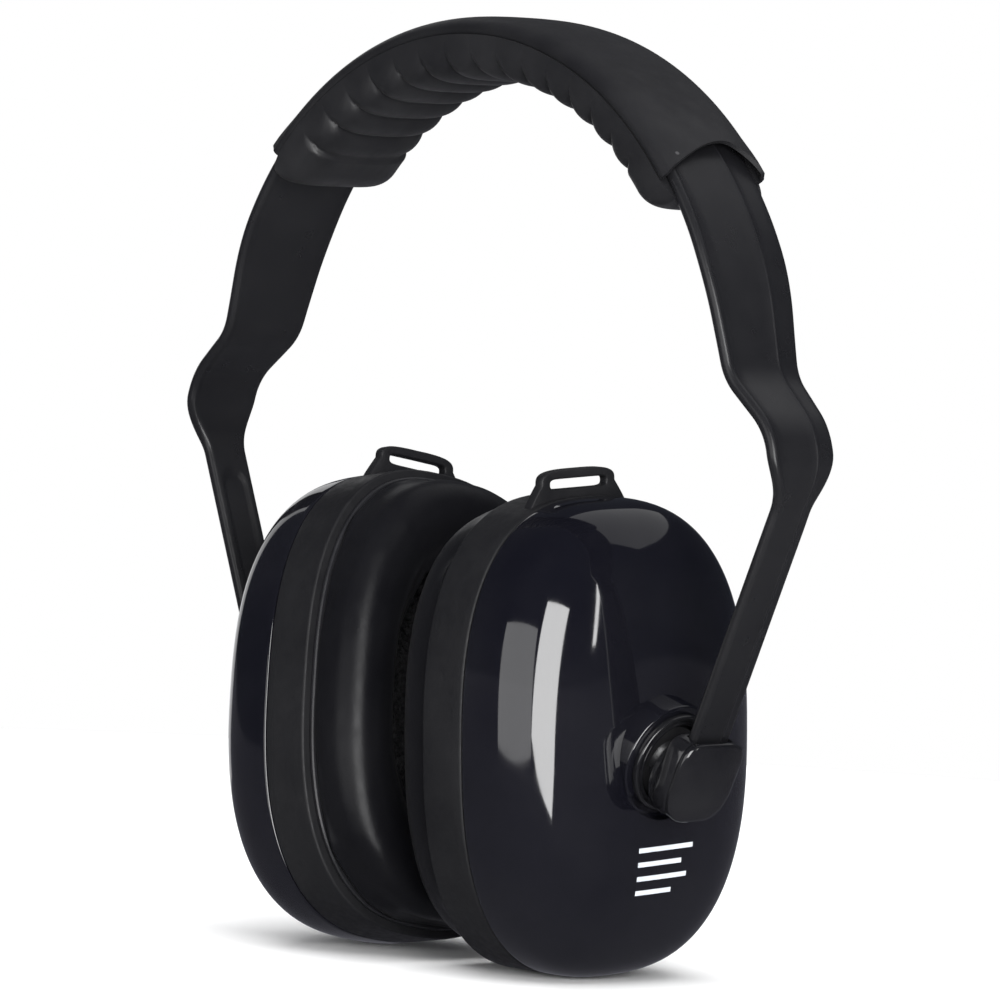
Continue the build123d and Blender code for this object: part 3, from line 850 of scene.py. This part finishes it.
def cup_ring_piece(side, matrix):
    """Deep matte rim with both outer edges rounded, from a profile of (distance, inset)."""
    seam, front = -SEAM_HALF, -RING_DEPTH
    profile = [(seam, RING_WALL)]
    profile += arc(seam - SEAM_ROUND, SEAM_ROUND, SEAM_ROUND, 0, -90, 4)
    profile += [(seam - 3.0, 0.0), (seam - 6.0, 0.0), (seam - 9.0, 0.0)]
    profile += arc(front + RING_ROUND, RING_ROUND, RING_ROUND, -90, -180, 5)
    profile += [(front, RING_WALL), (front + RING_LAND, RING_WALL)]
    rings = [cup_outline(x, inset) for x, inset in profile]
    return rings_piece(f"{side}_ring_rim", rings, matrix, loop=True)


def lug_outline():
    """Outer outline of the strap lug, with straight flared flanks, and its slot, point for point."""
    top = CUP_HEIGHT / 2 + LUG_RISE
    slot_middle = top - LUG_BAR - SLOT_WIDTH / 2
    flare = LUG_FLARE * (LUG_BASE / 2 - LUG_SHOULDER)
    outer, inner = [], []
    for c, s in round_steps(LUG_POINTS):
        if s >= 0:
            y = LUG_SHOULDER * signed_power(c, LUG_TOP_POWERS[0])
            z = slot_middle + (top - slot_middle) * s ** LUG_TOP_POWERS[1]
        else:
            y = (LUG_SHOULDER - flare * s) * signed_power(c, LUG_FLANK_POWER)
            z = slot_middle + LUG_DEPTH * s
        outer.append((y, z))
        inner.append((SLOT_LENGTH / 2 * signed_power(c, SLOT_POWERS[0]),
                      slot_middle + SLOT_WIDTH / 2 * signed_power(s, SLOT_POWERS[1])))
    return outer, inner


def strap_lug_piece(side, matrix):
    """Strap lug: a rounded bar swept round the slot."""
    middle = -LUG_FROM_SEAM - LUG_THICKNESS / 2
    rings = []
    for (oy, oz), (iy, iz) in zip(*lug_outline()):
        toward = Vector((oy - iy, oz - iz))
        half = toward.length / 2
        toward.normalize()
        ring = []
        for cx, cd, start in ((1, 1, 90), (1, -1, 360), (-1, -1, 270), (-1, 1, 180)):
            corner_x = middle + cx * (LUG_THICKNESS / 2 - LUG_CORNER)
            corner_d = half + cd * (half - LUG_CORNER)
            for x, d in arc(corner_x, corner_d, LUG_CORNER, start, start - 90, 3):
                ring.append((x, iy + toward.x * d, iz + toward.y * d))
        rings.append(ring)
    return rings_piece(f"{side}_strap_lug", rings, matrix, loop=True, sharp=45.0)


def cushion_plate_piece(side, matrix):
    """Rim of the plate that shows in the groove between ring and cushion."""
    front, back = -RING_DEPTH - GROOVE, -RING_DEPTH
    inner = back + PLATE_THICKNESS
    bevel = 0.3
    spigot = RING_WALL + bevel
    edge = CUSHION_INSET + bevel
    profile = ((back, spigot), (back, edge), (back - bevel, CUSHION_INSET),
               (front + bevel, CUSHION_INSET), (front, edge))
    rings = [cup_outline(x, inset) for x, inset in profile]
    rings += [oblong(EAR_WIDTH + PLATE_THICKNESS, EAR_HEIGHT + PLATE_THICKNESS, x) for x in (front, inner)]
    rings.append(cup_outline(inner, spigot))
    return rings_piece(f"{side}_plate_rim", rings, matrix, loop=True)


def cushion_rings():
    """Start shape of the ear cushion: rounded outer rim, crowned face, soft turn into the ear opening.

    The path holds (distance, inset, share of the way from the rim to the ear opening)."""
    back = -RING_DEPTH - GROOVE
    front = -RING_DEPTH - CUSHION_DEPTH
    path = [(back, 0.0, 0.0), (back - 1.2, -0.1, 0.0), (back - 3.0, -0.25, 0.0), (back - 4.8, -0.2, 0.0)]
    path += [(x, inset, 0.0) for x, inset in arc(front + RIM_ROUND, RIM_ROUND, RIM_ROUND, -90, -180, 7)]
    path += [(front - 0.25 * math.sin(math.pi * k / 5), RIM_ROUND, k / 5) for k in range(1, 5)]
    inner_w, inner_h = EAR_WIDTH + 2 * EAR_ROUND, EAR_HEIGHT + 2 * EAR_ROUND
    rings = []
    for x, inset, share in path:
        w = CUP_WIDTH - 2 * (CUSHION_INSET + inset)
        h = CUP_HEIGHT - 2 * (CUSHION_INSET + inset)
        rings.append(oblong(w + (inner_w - w) * share, h + (inner_h - h) * share, x,
                            count=CUSHION_POINTS))
    ear_edge = arc(front + EAR_ROUND, EAR_ROUND, EAR_ROUND, 180, 90, 6)
    turn_in = [(x, 2 * EAR_ROUND - inset) for x, inset in ear_edge]
    turn_in += [(x, 0.0) for x in (front + EAR_ROUND + 3.5, back - 1.0, back)]
    for x, grow in turn_in:
        rings.append(oblong(EAR_WIDTH + 2 * grow, EAR_HEIGHT + 2 * grow, x, count=CUSHION_POINTS))
    return rings


def puff(points, faces):
    """Swells the closed cushion with a cloth simulation, pinned at its back, and returns the new points."""
    back = -RING_DEPTH - GROOVE
    mesh = bpy.data.meshes.new("puff")
    mesh.from_pydata([Vector(p) * PUFF_SCALE for p in points], [], faces)
    obj = new_object("puff", mesh)
    pins = obj.vertex_groups.new(name="pins")
    pins.add([i for i, p in enumerate(points) if p[0] > back - 0.6], 1.0, "REPLACE")
    cloth = obj.modifiers.new("cloth", "CLOTH")
    cloth.settings.quality = 6
    cloth.settings.mass = 0.3
    cloth.settings.use_pressure = True
    cloth.settings.uniform_pressure_force = 4.0
    cloth.settings.effector_weights.gravity = 0.0
    cloth.settings.tension_stiffness = 12.0
    cloth.settings.compression_stiffness = 12.0
    cloth.settings.bending_stiffness = 1.5
    cloth.settings.vertex_group_mass = "pins"
    cloth.collision_settings.use_collision = False
    cloth.point_cache.frame_start = 1
    cloth.point_cache.frame_end = PUFF_FRAMES
    for step in range(1, PUFF_FRAMES + 1):
        bpy.context.scene.frame_set(step)
    graph = bpy.context.evaluated_depsgraph_get()
    swollen = [v.co / PUFF_SCALE for v in obj.evaluated_get(graph).data.vertices]
    bpy.data.objects.remove(obj)
    bpy.context.scene.frame_set(1)
    result = []
    for start, end in zip(points, swollen):
        move = end - Vector(start)
        if move.length > PUFF_LIMIT:
            move *= PUFF_LIMIT / move.length
        result.append(tuple(Vector(start) + move))
    return result


def creased(point):
    """Adds the shallow uneven creases of a soft skin where it turns into the ear opening."""
    x, y, z = point
    rim = math.hypot(y / (EAR_WIDTH / 2), z / (EAR_HEIGHT / 2))
    weight = smooth_step(1 - abs(rim - 1.25) / 0.3) * smooth_step(-RING_DEPTH - x, 4.0, 6.0)
    wave = noise.noise(Vector((x, y, z)) * 0.12)
    return (x + CREASE_DEPTH * wave * weight, y, z)


def ear_cushion_shape():
    """Points and faces of the finished cushion in the cup's frame, made once for both sides."""
    points, faces = skin_rings(cushion_rings(), loop=True)
    points = puff(points, faces)
    return [creased(p) for p in points], faces


def damping_foam_piece(side, matrix):
    """Foam block with the hollow for the ear, seen through the cushion."""
    wall = 3.0
    front = -RING_DEPTH + PLATE_THICKNESS + 0.5
    width, height = EAR_WIDTH + 3.6, EAR_HEIGHT + 3.6
    bowl = ((0.02, 1.2), (0.3, 1.2), (0.6, 1.0), (0.82, 0.4), (0.94, -1.4), (0.99, -4.0))
    rings = [oblong(width * size, height * size, EAR_POCKET + x) for size, x in bowl]
    rings += [oblong(width, height, x) for x in (-4.0, front + 1.0)]
    rings.append(oblong(width + 1.6, height + 1.6, front))
    rings += [cup_outline(x, RING_WALL + 0.7) for x in (front, -2.0)]
    rings.append(oblong(width + 2 * wall, height + 2 * wall, EAR_POCKET + wall))
    rings.append(oblong(0.4 * width, 0.4 * height, EAR_POCKET + wall + 2.0))
    return rings_piece(f"{side}_foam_block", rings, matrix)


def dome_height(y, z):
    """Height of the dome over a place in the cup's plane."""
    reach = ((abs(y) / (CUP_WIDTH / 2)) ** SQUARENESS
             + (abs(z) / (CUP_HEIGHT / 2)) ** SQUARENESS) ** (1 / SQUARENESS)
    return SHELL_DEPTH * (1 - min(0.999, reach) ** DOME_POWER) ** (1 / DOME_POWER)


def dome_point(y, z, lift):
    """Point on the dome over a place in the cup's plane, lifted off the surface."""
    step = 0.1
    slope_y = (dome_height(y + step, z) - dome_height(y - step, z)) / (2 * step)
    slope_z = (dome_height(y, z + step) - dome_height(y, z - step)) / (2 * step)
    normal = Vector((1, -slope_y, -slope_z)).normalized()
    return Vector((dome_height(y, z), y, z)) + normal * lift


def dome_patch(outline, centre, lift):
    """Closed plate that follows the dome: an outline round a centre, lifted off the shell."""
    sizes = (0.05, 0.35, 0.7, 1.0)
    rings = []
    for height, order in ((PATCH_BASE, sizes), (lift, sizes[::-1])):
        for size in order:
            rings.append([tuple(dome_point(centre[0] + y * size, centre[1] + z * size, height))
                          for y, z in outline])
    return skin_rings(rings)


def polygon_outline(corners, steps):
    """Outline through the corners, with a number of equal steps for each side."""
    outline = []
    for (ay, az), (by, bz), count in zip(corners, corners[1:] + corners[:1], steps):
        outline += [(ay + (by - ay) * k / count, az + (bz - az) * k / count) for k in range(count)]
    return outline


def up_mark_piece(side, matrix):
    """Small raised triangle that shows which end of the cup is up."""
    half, low = MARK_WIDTH / 2, -MARK_HEIGHT / 2
    outline = polygon_outline([(-half, low), (half, low), (0.0, -low)], (6, 6, 6))
    patch = dome_patch(outline, (MARK_ACROSS, MARK_UP), MARK_LIFT)
    return make_mesh(f"{side}_up_mark", *patch, matrix)


def printed_bars_piece(side, matrix):
    """Plain printed bars low on the shell, where the real one has its printing."""
    bars = []
    for k, length in enumerate(BAR_LENGTHS):
        y, z = length / 2, BAR_WIDTH / 2
        outline = polygon_outline([(-y, -z), (y, -z), (y, z), (-y, z)], (8, 1, 8, 1))
        centre = (BARS_ACROSS + length / 2, BARS_UP - k * BAR_PITCH)
        bars.append(dome_patch(outline, centre, BAR_LIFT))
    return make_mesh(f"{side}_printed_bars", *join_shapes(bars), matrix)


# ---- ball joint and slider ----

def collar_piece(side, matrix):
    """Stepped collar round the ball socket, with the ring grooves that catch the light."""
    profile = [(0.1, MOUTH_IN + 3.05), (0.1, BORE_RADIUS - 0.1), (BOSS_TOP, BORE_RADIUS - 0.1)]
    profile += arc(BOSS_TOP + 0.25, COLLAR_RADIUS - 0.25, 0.25, 180, 90, 3)
    profile += arc(COLLAR_TOP - COLLAR_ROUND, COLLAR_RADIUS - COLLAR_ROUND, COLLAR_ROUND, 90, 0, 5)
    groove = ((0.0, 0.25), (-0.25, 0.15), (-0.25, -0.15), (0.05, -0.3))
    profile += [(COLLAR_TOP + x, COLLAR_GROOVE + radius) for x, radius in groove]
    profile += [(COLLAR_TOP + 0.05, MOUTH_OUT + 0.15), (COLLAR_TOP - 0.3, MOUTH_OUT - 0.2)]
    profile += [(4.0, COLLAR_BORE), (2.5, COLLAR_BORE), (1.2, COLLAR_BORE + 0.25)]
    return rings_piece(f"{side}_collar", turned_rings(profile), matrix @ boss_frame(), loop=True)


def stud_piece(side, matrix):
    """Ball, neck and shoulder of the stud, turned in one."""
    profile = arc(0.0, 0.0, BALL_RADIUS, 179, 32, 18)
    neck = profile[-1][0] + 0.4
    profile += [(neck, STUD_RADIUS), (STUD_SHOULDER_FROM, STUD_RADIUS)]
    profile += arc(STUD_SHOULDER_FROM + 0.3, STUD_SHOULDER - 0.3, 0.3, 180, 90, 3)
    profile += [(BASE_FROM - 0.1, STUD_SHOULDER), (BASE_FROM - 0.1, STUD_RADIUS), (STUD_END, STUD_RADIUS)]
    return rings_piece(f"{side}_ball_stud", turned_rings(profile, 64), matrix)


def shield(x, inset, facet=0.0):
    """Outline of the slider's face: square shoulders above, narrower and rounder below."""
    ring = []
    for c, s in round_steps(TURNED_POINTS):
        power = BLOCK_TOP_POWER if s > 0 else BLOCK_FOOT_POWER
        y = BLOCK_WIDTH / 2 * (1 - BLOCK_TAPER * smooth_step(-s)) * signed_power(c, power)
        z = BLOCK_LENGTH / 2 * signed_power(s, power)
        corner = smooth_step(1 - abs(math.degrees(math.atan2(s, c)) - FACET_AT) / FACET_SPAN)
        shrink = 1 - (inset + facet * corner) / math.hypot(y, z)
        ring.append((x, y * shrink, z * shrink + BLOCK_RISE))
    return ring


def slider_block_piece(side, matrix):
    """Block under the arm with the channel for the arm."""
    low_edge = [(BLOCK_FROM + x, inset) for x, inset in ((0.0, 1.2), (0.15, 0.55), (0.6, 0.15), (1.2, 0.0))]
    high_edge = [(BLOCK_TO + x, inset) for x, inset in ((-0.45, 0.0), (-0.12, 0.15), (0.0, 0.5))]
    rings = [shield(x, inset) for x, inset in low_edge + high_edge]
    block = rings_piece(f"{side}_block", rings, matrix)
    low = ARM_FROM_BALL - STRIP_THICKNESS / 2 - CHANNEL_GAP
    high = BLOCK_TO + 5
    half = WIDTH_ARM / 2 + CHANNEL_GAP
    slot = [[(low, -half, z), (low, half, z), (high, half, z), (high, -half, z)]
            for z in (-BLOCK_LENGTH, BLOCK_LENGTH)]
    carve(block, rings_piece("cutter", slot, matrix))
    return block


def slider_base_piece(side, matrix):
    """Round stepped base of the slider block, facing the collar."""
    edge = 0.4
    profile = [(BLOCK_FROM + 0.6, STUD_RADIUS + 0.1), (BASE_FROM, STUD_RADIUS + 0.1)]
    profile += [(BASE_FROM, BASE_RADIUS - 2.2), (BASE_FROM + 0.35, BASE_RADIUS - 2.0)]
    profile += arc(BASE_FROM + 0.35 + edge, BASE_RADIUS - edge, edge, 180, 90, 4)
    profile += [(BLOCK_FROM + 0.6, BASE_RADIUS)]
    return rings_piece(f"{side}_block_base", turned_rings(profile), matrix, loop=True)


def slider_cap_piece(side, matrix):
    """Polished cap with a soft domed face and one broad facet low on its rear corner."""
    skirt = ((0.0, 0.9), (0.02, 0.3), (0.2, 0.05), (0.7, 0.0))
    face = ((-1.1, 0.0, 0.1), (-0.75, 0.15, 0.5), (-0.42, 0.5, 1.4), (-0.2, 1.0, 2.4), (-0.08, 1.5, 2.7),
            (0.0, 2.4, 2.4), (0.1, 4.5, 1.4), (0.16, 6.5, 0.6))
    rings = [shield(BLOCK_TO + x, inset) for x, inset in skirt]
    rings += [shield(CAP_TO + x, inset, facet) for x, inset, facet in face]
    return rings_piece(f"{side}_block_cap", rings, matrix)


# ---- stage, light, camera ----

def make_floor():
    """Round pale floor, left out of the glossy parts' reflections as the photograph's background is."""
    low = cad_box[0].z
    centre = (cad_box[0] + cad_box[1]) / 2
    points = [(centre.x + FLOOR_RADIUS * c, centre.y + FLOOR_RADIUS * s, low)
              for c, s in round_steps(TURNED_POINTS)]
    mesh = bpy.data.meshes.new("floor")
    mesh.from_pydata(points, [], [tuple(range(TURNED_POINTS))])
    floor = new_object("floor", mesh)
    mesh.materials.append(shader("floor_paint", (0.93, 0.93, 0.93), 0.85, finish=(6, 0.8, 0.9)))
    floor.visible_glossy = False


def direction(azimuth, elevation):
    """Unit vector towards a place in the room: azimuth 0 is the front, 90 the left side."""
    a, e = math.radians(azimuth), math.radians(elevation)
    return Vector((math.sin(a) * math.cos(e), -math.cos(a) * math.cos(e), math.sin(e)))


def area_light(name, azimuth, elevation, distance, size, power, roll=0.0):
    """Soft box at a place in the room, aimed at the object's middle and rolled about its own axis."""
    data = bpy.data.lights.new(name, "AREA")
    data.shape = "RECTANGLE"
    data.size, data.size_y = size
    data.energy = power
    light = new_object(name, data)
    back = direction(azimuth, elevation)
    facing = back.to_track_quat("Z", "Y").to_matrix().to_4x4()
    rolled = facing @ Matrix.Rotation(math.radians(roll), 4, "Z")
    light.matrix_world = Matrix.Translation(LIGHT_AIM + back * distance) @ rolled
    return light


def make_room():
    """White background round a dim room: nearly black above the horizon and a dull grey below it."""
    world = bpy.data.worlds.new("room")
    bpy.context.scene.world = world
    world.use_nodes = True
    room = world.node_tree.nodes["Background"]
    output = world.node_tree.nodes["World Output"]
    coordinates = add_node(world, "ShaderNodeTexCoord")
    split = add_node(world, "ShaderNodeSeparateXYZ")
    ramp = add_node(world, "ShaderNodeValToRGB")
    set_ramp(ramp, (0.0, ROOM_BELOW), (0.02, ROOM_ABOVE))
    backdrop = add_node(world, "ShaderNodeBackground", Color=(1.0, 1.0, 1.0, 1.0))
    seen = add_node(world, "ShaderNodeLightPath")
    mix = add_node(world, "ShaderNodeMixShader")
    link(world, coordinates.outputs["Generated"], split.inputs["Vector"])
    link(world, split.outputs["Z"], ramp.inputs["Fac"])
    link(world, ramp.outputs["Color"], room.inputs["Color"])
    link(world, seen.outputs["Is Camera Ray"], mix.inputs["Fac"])
    link(world, room.outputs["Background"], mix.inputs[1])
    link(world, backdrop.outputs["Background"], mix.inputs[2])
    link(world, mix.outputs["Shader"], output.inputs["Surface"])


def make_lights():
    """Plain studio light: boxes overhead and behind, two beside the camera and one at each side."""
    make_room()
    overhead = area_light("overhead", VIEW_AZIMUTH, 84, distance=1.7, size=(2.4, 2.4), power=72)
    overhead.visible_glossy = False
    area_light("top_glow", 170, 58, distance=1.8, size=(1.9, 1.3), power=4.0)
    area_light("strip", 61, 6, distance=2.3, size=(1.4, 1.8), power=96, roll=-16)
    area_light("soft_box", 11, 4, distance=2.3, size=(2.5, 1.4), power=27)
    area_light("side_strip", 108, 18, distance=1.8, size=(0.07, 0.8), power=2.2)
    area_light("left_rim", -112, 12, distance=1.8, size=(0.9, 1.4), power=3.0)


def make_camera():
    """Camera at the photograph's angle, worked out for an object that leans back by a few degrees."""
    back = direction(VIEW_AZIMUTH, VIEW_ELEVATION)
    right = direction(VIEW_AZIMUTH + 90, 0)
    upright = Matrix.Rotation(math.radians(VIEW_LEAN), 3, "X")
    turn = upright @ Matrix((right, back.cross(right), back)).transposed()
    data = bpy.data.cameras.new("camera")
    data.sensor_width = SENSOR_WIDTH
    data.lens = VIEW_LENS
    data.clip_start = 0.05
    data.clip_end = 20.0
    camera = new_object("camera", data)
    place_of_camera = Vector(VIEW_TARGET) + turn.col[2] * VIEW_DISTANCE
    camera.matrix_world = Matrix.Translation(place_of_camera) @ turn.to_4x4()
    bpy.context.scene.camera = camera


# ---- putting it together ----

def paint_cad_nodes():
    """Gives every CAD node that stays its own procedural material."""
    slots = {s["node"]: s["material_slot"] for s in record["subparts"]}
    for name, node in frame["nodes"].items():
        node.data.materials.clear()
        node.data.materials.append(MATERIALS[slots[name]])


def build_headband():
    place(headband_piece(), "headband", "band_plastic", "headband")
    place(head_pad_cover_piece(), "headband", "pad_cover", "head_pad_cover")
    pad = place(head_pad_cushion_piece(), "headband", "pad_foam", "head_pad_cushion")
    place(rivets_piece(), "headband", "rivet_plastic", "pad_rivets")


def build_cup(side, cushion_points, cushion_faces):
    matrix = cup_frame(side)
    body = f"{side}_cup"
    place(cup_shell_piece(side, matrix), body, "gloss_shell", f"{side}_cup_shell")
    place(shell_boss_piece(side, matrix), body, "gloss_shell")
    place(up_mark_piece(side, matrix), body, "gloss_shell")
    place(printed_bars_piece(side, matrix), body, "gloss_shell", material="printing_ink")
    place(cup_ring_piece(side, matrix), body, "ring_plastic", f"{side}_cup_ring")
    place(strap_lug_piece(side, matrix), body, "ring_plastic")
    place(cushion_plate_piece(side, matrix), body, "plate_plastic", f"{side}_cushion_plate")
    cushion = make_mesh(f"{side}_cushion_cover", cushion_points, cushion_faces, matrix, sharp=180.0)
    subdivide(cushion, 1)
    place(cushion, body, "cushion_skin", f"{side}_ear_cushion", f"{side}_cushion_foam")
    foam = damping_foam_piece(side, matrix)
    place(foam, body, "damping_foam", f"{side}_damping_foam")
    place(collar_piece(side, matrix), body, "gloss_block", f"{side}_pivot_collar")


def build_slider(side):
    matrix = stud_frame(side)
    body = f"{side}_slider"
    place(slider_block_piece(side, matrix), body, "gloss_block", f"{side}_slider_block")
    place(slider_base_piece(side, matrix), body, "gloss_block")
    place(slider_cap_piece(side, matrix), body, "gloss_block", f"{side}_slider_cap")
    place(stud_piece(side, matrix), f"{side}_stud", "stud_plastic", f"{side}_pivot_stud")


make_camera()
make_lights()
make_floor()
bpy.context.scene.view_settings.view_transform = "Standard"
make_materials()
paint_cad_nodes()
build_headband()
CUSHION = ear_cushion_shape()
for side_name in SIDES:
    build_cup(side_name, *CUSHION)
    build_slider(side_name)
